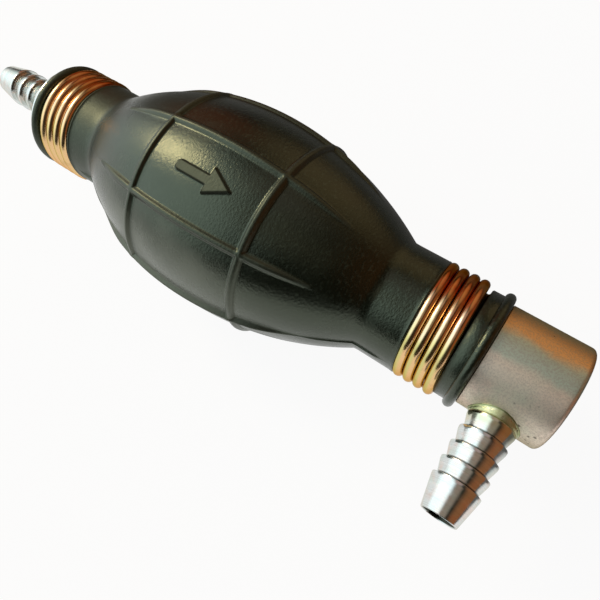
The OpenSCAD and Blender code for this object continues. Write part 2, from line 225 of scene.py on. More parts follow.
BELLY_X = 88.0
ARC_R = {"inlet": 72.5, "outlet": 78.5}
NECK_R = {"inlet": 13.3, "outlet": 13.7}
SHOULDER_R = {"inlet": 13.45, "outlet": 13.75}
FILLET_R = {"inlet": 3.0, "outlet": 1.2}
WALL = 2.6
BORE_R = 9.5
RINGS = (BELLY_X - 15.2, BELLY_X + 15.2)
RIB_TURN = 86.0
RIB_SPREAD = 45.0
RIB_TURNS = [RIB_TURN + k * RIB_SPREAD for k in range(8)]
RIB_HALF = 32.5
RIB_FADE = 13.0
ARROW_X = BELLY_X + 0.6
ARROW_TURN = RIB_TURN + RIB_SPREAD / 2 - 1.0
ARROW = [(-6.5, -1.1), (1.4, -1.1), (1.4, -3.05), (7.1, 0), (1.4, 3.05), (1.4, 1.1),
         (-6.5, 1.1), (-6.95, 0.75), (-7.1, 0.3), (-7.1, -0.3), (-6.95, -0.75)]
LIP_R, LIP_W = 13.95, 2.4
GROOVE_R, GROOVE_LEN = 11.45, 11.21
LANDS = {"inlet": 0.3, "outlet": 2.75}
COIL_R = 12.75
COIL_PITCH = 2.47
COIL_TURNS = 3.55
COIL_START = 10.0
SHOULDER_TURN = {"inlet": COIL_START + 360 * (COIL_TURNS - 3), "outlet": COIL_START}
SHOULDER_SLACK = {"inlet": 0.0, "outlet": -0.8}
SWELL = 0.14
TURN_STEP, LEAST_TURN = 2.4, 0.3
ROW_STEP, LEAST_ROW = 1.15, 0.17
RIB_LINES = (0, 0.5, 0.95, 1.4, 1.9, 2.5, 3.2)
RING_LINES = (0, 0.2, 0.42, 0.64, 0.86, 1.1, 1.35, 1.7)


def half_belly(away, middle, arc, neck, fillet):
    """Radius at the distances away from the belly's middle: an arc, a fillet, and the neck."""
    foot = math.sqrt((arc + fillet) ** 2 - (neck + fillet - middle) ** 2)
    meet = foot * arc / (arc + fillet)
    on_arc = middle + np.sqrt(np.maximum(arc ** 2 - away ** 2, 0))
    on_fillet = neck + fillet - np.sqrt(np.maximum(fillet ** 2 - (foot - away) ** 2, 0))
    return np.where(away < meet, on_arc, np.where(away < foot, on_fillet, neck))


def belly_outline(belly_r, necks, depth, places):
    """Radius of the belly and its necks at the places along X, sunk below the outside by depth."""
    away = np.abs(np.asarray(places, float) - BELLY_X)
    inlet, outlet = (
        half_belly(away, belly_r - ARC_R[end], ARC_R[end] - depth, necks[end], FILLET_R[end] + depth)
        for end in ("inlet", "outlet"))
    return np.where(places < BELLY_X, inlet, outlet)


def neck_end(end):
    """Outline [radius, distance from the end face] of a neck's end, from its face to the shoulder's top."""
    land, shoulder = LANDS[end], SHOULDER_R[end]
    half = LIP_W / 2
    turn = np.radians(np.linspace(0, 180, 13))
    lip = [(LIP_R - half + half * math.sin(a), half - half * math.cos(a)) for a in turn]
    near = LIP_W + land
    far = near + GROOVE_LEN
    land_points = [(12.75, LIP_W + 0.1), (12.72, near - 0.25), (12.5, near - 0.04), (12.1, near)]
    groove = [(GROOVE_R + 0.3, near + 0.02), (GROOVE_R, near + 0.3)]
    groove += [(GROOVE_R, s) for s in np.linspace(near + 1, far - 1, 8)] + [(GROOVE_R, far - 0.3)]
    wall = [(GROOVE_R + 0.3, far - 0.02), (12.7, far)]
    round_r = 0.4
    middle = shoulder - round_r
    turn = np.linspace(math.radians(148), math.asin((NECK_R[end] - middle) / round_r), 9)
    top = [(middle + round_r * math.sin(a), far + round_r * (0.85 + math.cos(a))) for a in turn]
    return lip + land_points + groove + wall + top


def shoulder_shift(end, away, turns):
    """How far the rubber beside a coil is drawn towards it, at the distances away from the end face."""
    near = LIP_W + LANDS[end]
    far = near + GROOVE_LEN
    share = np.clip((away - near) / GROOVE_LEN, 0, 1) * (1 - step_up(far + 1.4, far + 6.0, away))
    way = -1 if end == "inlet" else 1
    round_coil = way * (turns - SHOULDER_TURN[end]) % 360 / 360
    gap = COIL_PITCH * round_coil * (1 - step_up(0.9, 1.0, round_coil)) - SHOULDER_SLACK[end]
    return share[:, None] * gap[None, :]


def close_lines(lines, least):
    """Sorted lines, without those that lie nearer than least to the one before."""
    kept = []
    for line in sorted(lines):
        if not kept or line - kept[-1] > least:
            kept.append(line)
    return kept


def arrow_distance(along, across):
    """Distance to the arrow's outline, negative inside it."""
    best = np.full(np.broadcast(along, across).shape, 1e9)
    inside = np.zeros(best.shape, bool)
    for (ax, ay), (bx, by) in zip(ARROW, ARROW[1:] + ARROW[:1]):
        ex, ey = bx - ax, by - ay
        px, py = along - ax, across - ay
        t = np.clip((px * ex + py * ey) / (ex * ex + ey * ey), 0, 1)
        best = np.minimum(best, np.hypot(px - t * ex, py - t * ey))
        crosses = ((ay > across) != (by > across))
        with np.errstate(divide="ignore", invalid="ignore"):
            side = along < (bx - ax) * (across - ay) / (by - ay if by != ay else 1e-9) + ax
        inside ^= crosses & side
    return np.where(inside, -best, best)


def moulded_relief(settings, places, turns, radii):
    """Height of ribs, rings, arrow and seam over the plain bulb, for each place and turn."""
    x = places[:, None]
    turn = turns[None, :]
    r = radii[:, None]
    half = settings.rib_width / MM / 2
    height = settings.rib_height / MM
    reach = RIB_HALF - np.abs(x - BELLY_X)
    fade = step_up(0.0, RIB_FADE, reach)

    def bump(away, half_width):
        return 1 - step_up(half_width * 0.35, half_width * 1.75, np.abs(away))

    def across(centre):
        return r * np.radians((turn - centre + 180) % 360 - 180)

    ribs = np.zeros((len(places), len(turns)))
    for rib in RIB_TURNS:
        ribs = np.maximum(ribs, bump(across(rib), half * (0.55 + 0.45 * fade)) * fade)
    rings = np.maximum(bump(x - RINGS[0], half), bump(x - RINGS[1], half))
    on_belly = step_up(-2.0, 3.0, reach)
    raised = height * np.maximum(ribs, rings + 0 * turn)
    raised += 0.12 * height * np.minimum(ribs, rings + 0 * turn)
    along, aside = x - ARROW_X, across(ARROW_TURN)
    flat = 0.7 * (along ** 2 / 150 + aside ** 2 / 52)
    raised += (settings.arrow_height / MM + flat) * (1 - step_up(-0.12, 0.2, arrow_distance(along, aside)))
    seam = np.maximum(bump(across(RIB_TURN + 90), 0.2), bump(across(RIB_TURN + 270), 0.2))
    on_neck = step_up(BULB_START + 16.5, BULB_START + 18, x)
    on_neck = on_neck * (1 - step_up(BULB_END - 20.5, BULB_END - 18.5, x))
    raised += settings.seam_height / MM * seam * on_neck * (1 - 0.8 * on_belly * (1 - fade))
    return raised


def bulb_rows(settings):
    """Rows of the whole moulding: outside from inlet to outlet, then inside back again."""
    belly_r = settings.belly_radius / MM
    turns = list(np.arange(0, 360, TURN_STEP))
    for rib in RIB_TURNS:
        turns += [rib + d * side for d in RIB_LINES for side in (-1, 1)]
    turns += list(np.arange(ARROW_TURN - 7.8, ARROW_TURN + 7.9, 0.42))
    turns = np.array(close_lines([t % 360 for t in turns], LEAST_TURN))

    inlet = [(r, BULB_START + s) for r, s in neck_end("inlet")]
    outlet = [(r, BULB_END - s) for r, s in neck_end("outlet")][::-1]
    lines = list(np.arange(inlet[-1][1] + 0.5, outlet[0][1] - 0.4, ROW_STEP))
    for ring in RINGS:
        lines += [ring + d * side for d in RING_LINES for side in (-1, 1)]
    lines += list(np.arange(ARROW_X - 7.6, ARROW_X + 7.7, 0.24))
    lines = np.array(close_lines(lines, LEAST_ROW))
    between = list(zip(belly_outline(belly_r, NECK_R, 0, lines), lines))
    outside = np.array(inlet + between + outlet)

    relief = moulded_relief(settings, outside[:, 1], turns, outside[:, 0])
    first, last = len(inlet), len(inlet) + len(between)
    relief[:first] *= 0
    relief[last:] *= 0
    radii = outside[:, 0][:, None] + relief
    wave = np.array([[noise.noise(Vector((x * 0.035, math.cos(t) * 0.9, math.sin(t) * 0.9)))
                      for t in np.radians(turns)] for x in outside[:, 1]])
    radii[first:last] += SWELL * wave[first:last] - 0.02
    cos, sin = np.cos(np.radians(turns)), np.sin(np.radians(turns))

    def rows(radius, x):
        return np.stack([np.broadcast_to(x, radius.shape), radius * cos, radius * sin], axis=2)

    places = outside[:, 1][:, None] - shoulder_shift("inlet", outside[:, 1] - BULB_START, turns)
    places = places + shoulder_shift("outlet", BULB_END - outside[:, 1], turns)
    inner_x = np.concatenate([[BULB_END], np.linspace(BULB_END - 3, BULB_START + 3, 46), [BULB_START]])
    inner_r = belly_outline(belly_r, {"inlet": BORE_R, "outlet": BORE_R}, WALL, inner_x)
    inner = np.broadcast_to(inner_r[:, None], (len(inner_r), len(turns)))
    return np.concatenate([rows(radii, places), rows(inner, inner_x[:, None])])


def mark_relief(piece, belly_r):
    """Stores each point's distance from the arrow's outline and its height over the plain bulb, in mm."""
    x, y, z = np.array([vertex.co for vertex in piece.data.vertices]).T / MM
    turn = np.degrees(np.arctan2(z, y)) - ARROW_TURN
    aside = np.hypot(y, z) * np.radians((turn + 180) % 360 - 180)
    away = arrow_distance(x - ARROW_X, aside)
    raised = np.hypot(y, z) - belly_outline(belly_r, NECK_R, 0, x)
    piece.data.attributes.new("arrow", "FLOAT", "POINT").data.foreach_set("value", away)
    piece.data.attributes.new("raised", "FLOAT", "POINT").data.foreach_set("value", raised)


# Wire

def wound_wire(start_x, radius, pitch, turns, start, wire_r, per_turn=72, sides=18, loose=0.0):
    """Rows of an unbroken round wire wound about X, with rounded ends."""
    steps = int(turns * per_turn)
    lead = math.atan2(pitch, 2 * math.pi * radius)
    round_wire = np.linspace(0, 2 * np.pi, sides, endpoint=False)
    rows = []
    ends = ((-0.34, 0.55), (-0.22, 0.88), (0.0, 1.0))
    path = [(0.0, back * wire_r, size) for back, size in ends]
    path += [(turns * i / steps, 0.0, 1.0) for i in range(1, steps)]
    path += [(turns, -back * wire_r, size) for back, size in reversed(ends)]
    for t, back, size in path:
        a = math.radians(start + 360 * t)
        c, s, on = math.cos(a), math.sin(a), t * 0.9 + start_x
        sway = loose * noise.noise(Vector((c * 0.8, s * 0.8, on)))
        lift = loose * 0.6 * noise.noise(Vector((c * 0.9 + 7, s * 0.9, on)))
        out = np.array([0, c, s])
        along = np.array([math.sin(lead), -s * math.cos(lead), c * math.cos(lead)])
        side = np.cross(along, out)
        centre = np.array([start_x + pitch * t + sway, 0, 0]) + (radius + lift) * out + back * along
        rows.append([centre + size * wire_r * (math.cos(b) * out + math.sin(b) * side) for b in round_wire])
    return rows


# Turned pieces

TAIL = {"barbs": 5, "tip_r": 3.9, "barb_r": 5.25, "root_r": 4.3, "tip_len": 7.1, "pitch": 3.6, "land": 0.6}
BODY_R = 12.0
FLANGE = (24.3, 26.5)
SPIGOT = {"r": 9.4, "low": 8.8, "len": 21.0, "first": 7.0, "pitch": 3.0}
CHAMBER_R = 6.0
CHAMBER_END = 153.71
PASSAGE_R = 3.0
THROAT_R = 2.6
INLET_CONE = (25.4, 28.8)
STEM_R = 5.0
STEM_LOW = 11.4
PLUG_R = 4.6
PLUG = (7.0, 10.8)
OUTLET_HOLE = [(0, -0.01), (PASSAGE_R, 0), (PASSAGE_R, PLUG[0]), (PLUG_R, PLUG[0]), (PLUG_R, PLUG[1]),
               (STEM_R, STEM_LOW), (STEM_R, 14.0), (0, 14.01)]
SPRING_R = 3.5
SPRING_TURNS = 5
SPRING_WIRE_R = 0.34
SPRING_GAP = 0.03


def tail_outline():
    """Outline [radius, distance from the tip] of a barbed tail, from its mouth to the last barb's back."""
    tip_r = TAIL["tip_r"]
    points = [(PASSAGE_R, 0.9), (tip_r - 0.3, 0.14), (tip_r - 0.24, 0.0), (tip_r - 0.12, 0.0), (tip_r, 0.12)]
    for k in range(TAIL["barbs"]):
        edge = TAIL["tip_len"] + k * TAIL["pitch"]
        points += [(TAIL["barb_r"] - 0.05, edge - TAIL["land"]), (TAIL["barb_r"], edge)]
        points.append((TAIL["root_r"], edge))
    return points


def spigot_outline(base, way):
    """Outline [radius, x] of a ridged spigot from its foot at base, along way."""
    points = [(SPIGOT["low"], base)]
    for k in range(4):
        s = SPIGOT["first"] + k * SPIGOT["pitch"]
        points += [(SPIGOT["low"], base + way * s), (SPIGOT["r"], base + way * (s + 0.02)),
                   (SPIGOT["r"], base + way * (s + 1.0)), (SPIGOT["low"], base + way * (s + 2.9))]
    return points + [(SPIGOT["low"] - 0.3, base + way * SPIGOT["len"])]


def inlet_fitting_outline():
    face, back = FLANGE
    stem = [(STEM_R, face - 0.73), (STEM_R, face - 0.1), (STEM_R + 0.5, face)]
    flange = [(BODY_R - 0.4, face), (BODY_R, face + 0.4), (BODY_R, back - 0.3), (BODY_R - 0.3, back)]
    outside = tail_outline() + stem + flange
    mouth = back + SPIGOT["len"]
    inside = [(CHAMBER_R + 0.3, mouth), (CHAMBER_R, mouth - 0.3), (CHAMBER_R, INLET_CONE[1]),
              (THROAT_R, INLET_CONE[0]), (THROAT_R, 23.64), (PASSAGE_R, 23.4)]
    return outside + spigot_outline(back, 1) + inside


def outlet_body_outline():
    foot = BULB_END + 0.1
    mouth = foot - SPIGOT["len"]
    edge = 1.1
    turn = np.radians(np.linspace(0, 90, 9))
    corner = [(BODY_R - edge + edge * math.cos(a), BODY_END - edge + edge * math.sin(a)) for a in turn]
    inside = [(0, BODY_END), (0, OUTLET_X + 4.8), (PASSAGE_R, OUTLET_X + 3.0), (PASSAGE_R, CHAMBER_END),
              (CHAMBER_R, CHAMBER_END), (CHAMBER_R, mouth + 0.3), (CHAMBER_R + 0.3, mouth)]
    outside = spigot_outline(foot, -1)[::-1] + [(BODY_R - 0.25, foot), (BODY_R, foot + 0.25)]
    return outside, corner, inside


def outlet_tail_outline():
    points = [(r, TAIL_TIP - s) for r, s in tail_outline()[:-1]]
    foot = PLUG[0] + 0.05
    return points + [(STEM_R, 12.3), (STEM_R, STEM_LOW), (PLUG_R, PLUG[1]), (PLUG_R, foot), (PASSAGE_R, foot)]


def drill(piece, outline):
    """Cuts a turned shape about the outlet tail's axis out of a piece."""
    cutter = mesh_from_rows("cutter", turned_along_outlet(outline, 96), caps=False)
    cut = piece.modifiers.new("hole", "BOOLEAN")
    cut.operation, cut.solver, cut.object = "DIFFERENCE", "EXACT", cutter
    bpy.context.view_layer.update()
    shape = bpy.data.meshes.new_from_object(piece.evaluated_get(bpy.context.evaluated_depsgraph_get()))
    piece.modifiers.clear()
    old, piece.data = piece.data, shape
    shape.name = old.name
    bpy.data.meshes.remove(old)
    bpy.data.objects.remove(cutter)
    shape.shade_smooth()
    shape.set_sharp_from_angle(angle=math.radians(38))


def braze_rows():
    """Rows round the outlet tail's foot: an uneven bead that follows the body's curve."""
    rows = []
    for a in np.linspace(0, 2 * np.pi, 180, endpoint=False):
        c, s = math.cos(a), math.sin(a)
        lump = noise.noise(Vector((c * 1.7, s * 1.7, 0.3))) + 0.5 * noise.noise(Vector((c * 5, s * 5, 4.0)))
        out = 5.66 + 0.1 * lump
        up = 0.75 + 0.1 * lump + 0.5 * s * s

        def on_body(r, rise):
            return (OUTLET_X + r * c, -(math.sqrt(BODY_R ** 2 - (r * s) ** 2) + rise), r * s)

        bead = [(out + 0.02, -0.25), (out, 0.0), (out - 0.08, 0.12), (out - 0.26, 0.2 + 0.05 * lump),
                (5.42, 0.38 * up + 0.08), (5.24, 0.62 * up + 0.08), (5.12, 0.9 * up + 0.05),
                (5.06, up + 0.05), (4.98, up + 0.08), (4.85, up - 0.1), (4.85, -0.25)]
        rows.append([on_body(r, rise) for r, rise in bead])
    return rows


# Materials

class Field:
    """A node's output. Those that are values add, subtract, multiply and divide as numbers do."""

    def __init__(self, socket):
        self.socket = socket
        self.tree = socket.id_data

    def to(self, socket):
        self.tree.links.new(self.socket, socket)

    def __add__(self, other):
        return calc("ADD", self, other)

    def __sub__(self, other):
        return calc("SUBTRACT", self, other)

    def __rsub__(self, other):
        return calc("SUBTRACT", other, self)

    def __mul__(self, other):
        return calc("MULTIPLY", self, other)

    def __truediv__(self, other):
        return calc("DIVIDE", self, other)

    def __rtruediv__(self, other):
        return calc("DIVIDE", other, self)


def put(tree, kind, inputs=None, **settings):
    """A shader node with its settings made, and its inputs set or linked. Colours are three numbers."""
    node = tree.nodes.new("ShaderNode" + kind)
    for key, value in settings.items():
        setattr(node, key, value)
    for key, value in (inputs or {}).items():
        socket = node.inputs[key]
        if isinstance(value, Field):
            value.to(socket)
        else:
            socket.default_value = (*value, 1.0) if socket.type == "RGBA" else value
    return node


def source(tree, kind, output, inputs=None, **settings):
    """A field from a new node in the tree."""
    return Field(put(tree, kind, inputs, **settings).outputs[output])


def field(kind, inputs, output=0, **settings):
    """A field from a node that stands in the same tree as the fields it takes."""
    tree = next(value.tree for value in inputs.values() if isinstance(value, Field))
    return source(tree, kind, output, inputs, **settings)


def calc(operation, a, b=0.0):
    return field("Math", {0: a, 1: b}, operation=operation)


def remap(value, low, high, to_low=0.0, to_high=1.0):
    """The value carried smoothly from one range to another, and held at both ends."""
    inputs = {"Value": value, "From Min": low, "From Max": high, "To Min": to_low, "To Max": to_high}
    return field("MapRange", inputs, "Result", interpolation_type="SMOOTHSTEP")


def fall(value, low, high):
    """1 below low and 0 above high."""
    return remap(value, low, high, 1.0, 0.0)


def mixed(share, a, b, blend="MIX"):
    return field("Mix", {0: share, 6: a, 7: b}, 2, data_type="RGBA", blend_type=blend)


def clouds(point, size, detail=3.0, roughness=0.55):
    """Soft noise with lumps of about the given size."""
    return field("TexNoise", {"Vector": point, "Scale": 1 / size, "Detail": detail, "Roughness": roughness})


def vectors(operation, a, b):
    return field("VectorMath", {0: a, 1: b}, operation=operation)


def scaled(point, factor):
    return field("VectorMath", {0: point, "Scale": factor}, operation="SCALE")


def dot(point, way):
    return field("VectorMath", {0: point, 1: way}, "Value", operation="DOT_PRODUCT")


def parts(point):
    """The three numbers of a point or colour."""
    return [Field(socket) for socket in put(point.tree, "SeparateXYZ", {0: point}).outputs]


PUMP_AXIS = ((0, 1, 1), (0, 0, 0))
OUTLET_AXIS = ((1, 0, 1), (OUTLET_X, 0, 0))


def off_axis(point, axis):
    """Distance of the point from an axis, which is given by the directions across it and a place on it."""
    across, place = axis
    flat = vectors("MULTIPLY", point, across)
    return field("VectorMath", {0: flat, 1: place}, "Value", operation="DISTANCE")


def darker(rgb, share):
    return [part * share for part in rgb]


def moulded_skin(point, size):
    """Leather-like grain of the rubber mould, finer creases, and a mask for where the rubber is dry."""
    near = scaled(point, 1.0 / size)
    stretched = field("Mapping", {"Vector": near, "Scale": (1.25, 0.8, 0.8)})
    bent = field("TexNoise", {"Vector": near, "Scale": 0.8, "Detail": 2.0}, 1)
    warped = vectors("ADD", stretched, bent)
    cells = field("TexVoronoi", {"Vector": warped, "Scale": 1.0}, "Distance", feature="SMOOTH_F1")
    creases = clouds(near, 0.45, 4.0, 0.6)
    return {"Height": cells * 0.7 + creases * 0.55, "Dry": remap(clouds(point, 14.0, 4.0), 0.35, 0.7)}


def rubbed_edges(point, start, full, breakup):
    """Mask for edges and crests that handling has rubbed, broken up by a fine noise."""
    edge = remap(source(point.tree, "NewGeometry", "Pointiness"), start, full)
    broken = remap(clouds(point, 1.6, 5.0, 0.65), 0.3, 0.62)
    return {"Mask": edge * (1.0 - breakup * (1.0 - broken))}


def tool_marks(along, point, pitch):
    """Fine lines that a lathe tool leaves across the direction along, with a slow waver."""
    waver = clouds(point, 5.0, 1.0) * 0.15
    line = field("CombineXYZ", {0: (along + waver) / pitch})
    fine = clouds(line, 1.0, 2.0, 0.7)
    wide = field("TexNoise", {"Vector": line, "Scale": 0.13, "Detail": 3.0, "Roughness": 0.6})
    return {"Height": fine * 0.6 + wide * 0.4, "Streak": remap(wide, 0.35, 0.65)}


def passivate_tint(point, size, base, first, second, amount):
    """Oil-like tints of passivated zinc: the base colour with two tints in soft, uneven clouds."""
    near = scaled(point, 1.0 / size)
    moved = vectors("ADD", near, (13.1, 4.7, 8.3))
    one = remap(clouds(near, 1.0, 4.0, 0.5), 0.42, 0.68)
    two = remap(clouds(moved, 1.3, 4.0, 0.5), 0.45, 0.7)
    return {"Color": mixed(two * amount, mixed(one * amount, base, first), second), "Cloud": one}


def specks(point, spacing, share, radius):
    """Small separate specks, such as pits or dust, each of its own size. Share is how many cells hold one."""
    cells = put(point.tree, "TexVoronoi", {"Vector": scaled(point, 1.0 / spacing), "Scale": 1.0}).outputs
    chance = parts(Field(cells["Color"]))
    size = radius * (chance[1] + 0.35)
    spot = 1.0 - remap(Field(cells["Distance"]), size * 0.45, size)
    return {"Mask": spot * calc("LESS_THAN", chance[0], share)}


EFFECTS = {
    "moulded skin": (moulded_skin, {"Point": None, "Size": 0.7}),
    "rubbed edges": (rubbed_edges, {"Point": None, "From": 0.51, "Full": 0.56, "Breakup": 0.5}),
    "tool marks": (tool_marks, {"Along": 0.0, "Point": None, "Pitch": 0.12}),
    "passivate tint": (passivate_tint, {"Point": None, "Size": 6.0, "Base": (0.8, 0.5, 0.2),
                                        "First": (0.8, 0.5, 0.4), "Second": (0.7, 0.7, 0.3),
                                        "Amount": 0.7}),
    "specks": (specks, {"Point": None, "Spacing": 2.0, "Share": 0.3, "Radius": 0.2}),
}


def effect(name):
    """The shader node group of that name, built when it is first asked for."""
    if name in bpy.data.node_groups:
        return bpy.data.node_groups[name]
    build, inputs = EFFECTS[name]
    tree = bpy.data.node_groups.new(name, "ShaderNodeTree")
    for label, default in inputs.items():
        kind = {type(None): "Vector", float: "Float", tuple: "Color"}[type(default)]
        socket = tree.interface.new_socket(name=label, in_out="INPUT", socket_type="NodeSocket" + kind)
        if default is not None:
            socket.default_value = (*default, 1.0) if kind == "Color" else default
    given = tree.nodes.new("NodeGroupInput").outputs
    results = build(*(Field(given[label]) for label in inputs))
    for label in results:
        kind = "Color" if label == "Color" else "Float"
        tree.interface.new_socket(name=label, in_out="OUTPUT", socket_type="NodeSocket" + kind)
    out = tree.nodes.new("NodeGroupOutput")
    for label, value in results.items():
        value.to(out.inputs[label])
    return tree


def use(name, point, **inputs):
    """Places a shader node group, and returns its outputs by name."""
    node = put(point.tree, "Group", {"Point": point, **inputs}, node_tree=effect(name))
    return {socket.name: Field(socket) for socket in node.outputs}


def emptied(owner, kind):
    """The node tree of a material or world with nothing in it but its output, and that output's socket."""
    owner.use_nodes = True
    owner.node_tree.nodes.clear()
    return owner.node_tree, put(owner.node_tree, "Output" + kind).inputs[0]


def material(name, metallic, gloss_tint, level=0.5):
    """A material with only its Principled shader, that shader, and the surface point in millimetres."""
    made = bpy.data.materials.new(name)
    tree, out = emptied(made, "Material")
    gloss = {"Metallic": metallic, "Specular Tint": gloss_tint, "Specular IOR Level": level}
    shader = put(tree, "BsdfPrincipled", gloss)
    Field(shader.outputs[0]).to(out)
    return made, shader, scaled(source(tree, "TexCoord", "Object"), 1 / MM)


def surface(shader, base, roughness, height, depth_m):
    """Gives the shader its base colour and roughness, and a bump as deep as depth_m where height is 1."""
    normal = field("Bump", {"Height": height, "Distance": depth_m, "Strength": 1.0})
    for socket, value in (("Base Color", base), ("Roughness", roughness), ("Normal", normal)):
        value.to(shader.inputs[socket])


def rubber_material(settings):
    """Moulded rubber: dry in patches, with a painted floor sheen in patches low on the belly, paler on ribs
    and on the arrow's top.
    """
    made, shader, point = material("bulb rubber", 0.0, (0.86, 1.0, 0.74), 0.85)
    skin = use("moulded skin", point, Size=0.5)
    rubbed = use("rubbed edges", point, From=0.505, Full=0.56, Breakup=0.4)["Mask"]
    dust = use("specks", point, Spacing=9.0, Share=0.3, Radius=0.03)["Mask"]
    x = parts(point)[0]
    half = (BULB_END - BULB_START) / 2
    from_middle = calc("ABSOLUTE", x - (BULB_START + BULB_END) / 2)
    end = remap(from_middle, half - 5.5, half - 4.5)
    neck = fall(x, BULB_START + 18, BULB_START + 25)
    on_belly = fall(from_middle, RIB_HALF, RIB_HALF + 4)
    arrow = source(point.tree, "Attribute", "Fac", attribute_name="arrow")
    top = fall(arrow, -0.24, -0.12)
    outline = fall(arrow, 0.14, 0.32) - top
    raised = source(point.tree, "Attribute", "Fac", attribute_name="raised")
    ribs = remap(raised, 0.12, 0.3) * on_belly
    feet = remap(raised, 0.01, 0.05) * fall(raised, 0.15, 0.3) * on_belly
    # Painted sheen: the belly's side that faces -Y and the floor is made paler in patches, with the dust
    # colour.
    under = dot(point, (0, -0.85, -0.52))
    floor_sheen = remap(under + skin["Dry"] * 6.0, 8.0, 21.0) * fall(x, 92.0, 120.0)
    base = mixed(skin["Dry"] * 0.5 + rubbed * 0.25, settings.rubber, settings.bloom)
    base = mixed(remap(skin["Height"], 0.6, 0.82), base, (0.015, 0.021, 0.015))
    base = mixed(floor_sheen, base, settings.dust)
    base = mixed(ribs * 0.35, base, (0.020, 0.019, 0.012))
    base = mixed(top, base, (0.030, 0.034, 0.023))
    base = mixed(dust, base, (0.35, 0.34, 0.31))
    rough = remap(skin["Dry"], 0, 1, 0.23, 0.30)
    for mask, extra in ((end, -0.04), (neck, 0.22), (rubbed, 0.25), (ribs, 0.1), (feet, 0.25),
                        (top, 0.2), (outline, 0.6)):
        rough += mask * extra
    surface(shader, base, rough, skin["Height"], settings.grain)
    return made


def wire_material(settings, name, start_x):
    """Passivated wire: green and pale low on the neck, gold and red high on it, split along each strand. The
    hues are passivate, laid out as painted light: floor reflections low, warm room reflections high, and
    painted shade on each strand's +X half and along the top.
    """
    made, shader, point = material(name, 1.0, (0.72, 0.55, 0.34))
    x, y, z = parts(point)
    strand = (x - start_x) / COIL_PITCH - calc("ARCTAN2", z, y) / (2 * math.pi)
    # Painted shade: the half of each strand that faces +X, away from the window, turns peach low and deep red
    # high.
    right = remap(calc("FRACT", strand + (0.5 + COIL_START / 360)), 0.36, 0.66)
    # Painted reflections by height: pale and lime towards -Y for the floor, ember towards +Y for the warm
    # room.
    side = y + (clouds(point, 4.0, 2.0) - 0.5) * 8.0
    foot = mixed(remap(side, -10.5, -4.5), settings.lime, settings.blush)
    top = mixed(remap(side, 2.0, 9.0), settings.gold, settings.ember)
    low, high = mixed(right, foot, settings.peach), mixed(right, top, settings.deep)
    both = mixed(remap(side, -7.0, 6.0), low, high)
    # Painted shade: dark olive along the very top of the coil.
    both = mixed(remap(side, 9.5, 13.0, 0.0, 0.8), both, (0.12, 0.10, 0.03))
    tint = use("passivate tint", point, Size=5.0, Base=both,
               First=settings.peach, Second=settings.lime, Amount=0.3)
    rubbed = use("rubbed edges", point, From=0.5, Full=0.8, Breakup=0.9)["Mask"]
    scuffs = remap(clouds(point, 0.5, 4.0, 0.7), 0.62, 0.78)
    stain = remap(clouds(point, 3.2, 4.0, 0.6), 0.55, 0.8, 1.0, 0.72)
    worn = mixed((scuffs + rubbed) * 0.25, tint["Color"], (0.82, 0.74, 0.62))
    rough = remap(tint["Cloud"], 0, 1, 0.15, 0.23) + scuffs * 0.2
    surface(shader, mixed(1.0, worn, stain, "MULTIPLY"), rough, clouds(point, 0.35, 3.0, 0.6), 0.008 * MM)
    return made


def outlet_tail_tint_and_shade(point):
    """Masks for the tail's yellow foot, and for painted shade behind its barbs and inside its bore."""
    from_barb = parts(point)[1] + (TAIL_TIP - TAIL["tip_len"])
    behind = calc("FRACT", from_barb / TAIL["pitch"]) * TAIL["pitch"]
    barbs = remap(from_barb, -0.4, 0.0) * fall(from_barb, 13.8, 14.2)
    # Painted shade in the crevice just behind each barb's edge, and inside the bore.
    crevice_shade = fall(behind, 0.30, 0.62) * barbs
    bore = fall(off_axis(point, OUTLET_AXIS), PASSAGE_R + 0.5, PASSAGE_R + 0.62)
    return remap(from_barb, 10.5, 14.5, 0.0, 0.6), calc("MAXIMUM", crevice_shade * 0.85, bore)


def zinc_material(name, settings, axis, tinted_and_shaded=False):
    """Bright turned zinc whose tool marks follow one another along an axis: 0 is X, 1 is Y."""
    made, shader, point = material(name, 1.0, (0.85, 0.85, 0.80))
    marks = use("tool marks", point, Along=parts(point)[axis], Pitch=0.17)
    tint = use("passivate tint", point, Size=1.8, Base=settings.zinc,
               First=(0.86, 0.66, 0.58), Second=(0.68, 0.78, 0.72), Amount=0.6)
    worn = use("rubbed edges", point, From=0.53, Full=0.62, Breakup=0.7)["Mask"]
    pits = use("specks", point, Spacing=1.5, Share=0.16, Radius=0.09)["Mask"]
    shade = mixed(remap(marks["Height"], 0.38, 0.6, 0.34, 0.0), tint["Color"], (0.30, 0.33, 0.31))
    shade = mixed(worn * 0.5, shade, (0.9, 0.9, 0.88))
    shade = mixed(pits * 0.7, shade, (0.25, 0.24, 0.21))
    # The outlet tail gets a yellow-green foot, and painted shade behind its barbs and in its bore.
    if tinted_and_shaded:
        foot, painted_shade = outlet_tail_tint_and_shade(point)
        shade = mixed(foot, shade, (0.62, 0.64, 0.36))
        shade = mixed(painted_shade, shade, (0.045, 0.05, 0.04))
    rough = remap(marks["Streak"], 0, 1, 0.1, 0.2) + pits * 0.3
    surface(shader, shade, rough, marks["Height"] - pits, 0.012 * MM)
    return made


